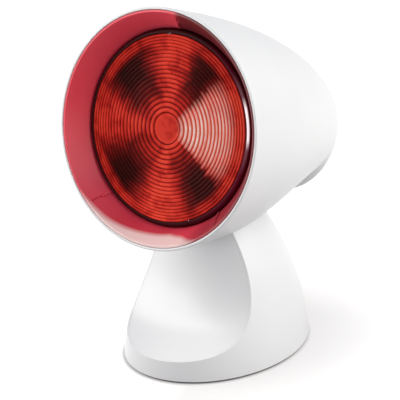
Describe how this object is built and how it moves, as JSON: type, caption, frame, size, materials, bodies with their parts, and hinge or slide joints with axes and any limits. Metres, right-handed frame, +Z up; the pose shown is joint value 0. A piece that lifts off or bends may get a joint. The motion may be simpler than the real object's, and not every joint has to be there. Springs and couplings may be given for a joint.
{
  "type": "infrared heat therapy lamp",
  "caption": "Tilting table lamp with a round white shade, a red ridged reflector bulb and a scooped bell-shaped foot.",
  "frame": {"origin": "middle of the lamp's outer box, on the surface that it stands on", "axes": "-Y towards the front that the shade's mouth faces, +X to the lamp's left as it faces you from -Y, +Z up"},
  "size_m": [0.1444, 0.189, 0.2303],
  "materials": {
    "white_gloss": "moulded, glossy white",
    "white_satin": "moulded, satin white",
    "funnel_red": "moulded, red, semi-gloss",
    "ruby_glass": "pressed glass with red filter coat",
    "mirrored_glass": "glass silvered inside",
    "nickel_steel": "nickel plated",
    "brass": "plain brass strip",
    "tungsten": "coiled tungsten wire",
    "ceramic": "glazed porcelain, stated as plastic",
    "black_glass": "black vitrite",
    "black_plastic": "moulded, black",
    "black_rubber": "soft black grommet",
    "pad_rubber": "dark grey anti-slip pad",
    "grey_plastic": "moulded, grey",
    "cast_iron": "plain ballast slab",
    "brown_lead": "brown insulation",
    "blue_lead": "blue insulation"
  },
  "bodies": {
    "foot": {"foot_shell": "white_gloss", "front_panel": "white_gloss", "hinge_post": "white_satin", "post_screw_1": "nickel_steel", "post_screw_2": "nickel_steel", "friction_washer_left": "black_plastic", "friction_washer_right": "black_plastic", "deck_grommet": "black_rubber", "lower_lead_live": "brown_lead", "lower_lead_neutral": "blue_lead", "bottom_plate": "white_satin", "rubber_pad_1": "pad_rubber", "rubber_pad_2": "pad_rubber", "rubber_pad_3": "pad_rubber", "rubber_pad_4": "pad_rubber", "plate_screw_1": "nickel_steel", "plate_screw_2": "nickel_steel", "plate_screw_3": "nickel_steel", "plate_screw_4": "nickel_steel", "ballast_weight": "cast_iron", "terminal_block": "grey_plastic", "switch_housing": "black_plastic", "cord_gland": "white_satin"},
    "rocker": {"switch_rocker": "black_plastic"},
    "shade": {"shade_shell": "white_gloss", "hinge_pocket": "white_satin", "pivot_bolt": "nickel_steel", "pivot_nut": "nickel_steel", "reflector_funnel": "funnel_red", "bulb_lens": "ruby_glass", "bulb_reflector": "mirrored_glass", "bulb_filament": "tungsten", "filament_post_left": "nickel_steel", "filament_post_right": "nickel_steel", "bulb_stem": "ceramic", "bulb_cap": "nickel_steel", "bulb_insulator": "black_glass", "bulb_contact": "brass", "holder_body": "ceramic", "holder_sleeve": "brass", "holder_contact": "brass", "holder_bracket": "nickel_steel", "bracket_screw_left": "nickel_steel", "bracket_screw_right": "nickel_steel", "holder_screw_left": "nickel_steel", "holder_screw_right": "nickel_steel", "upper_lead_live": "brown_lead", "upper_lead_neutral": "blue_lead", "roof_grommet": "black_rubber"}
  },
  "joints": [
    {"name": "shade_tilt", "type": "hinge", "parent": "foot", "child": "shade", "pos_m": [0, -0.00897, 0.094], "axis": [-1, 0, 0], "range_deg": [-10, 25]},
    {"name": "switch_rock", "type": "hinge", "parent": "foot", "child": "rocker", "pos_m": [0, 0.04613, 0.03352], "axis": [1, 0, 0], "range_deg": [0, 16]}
  ]
}
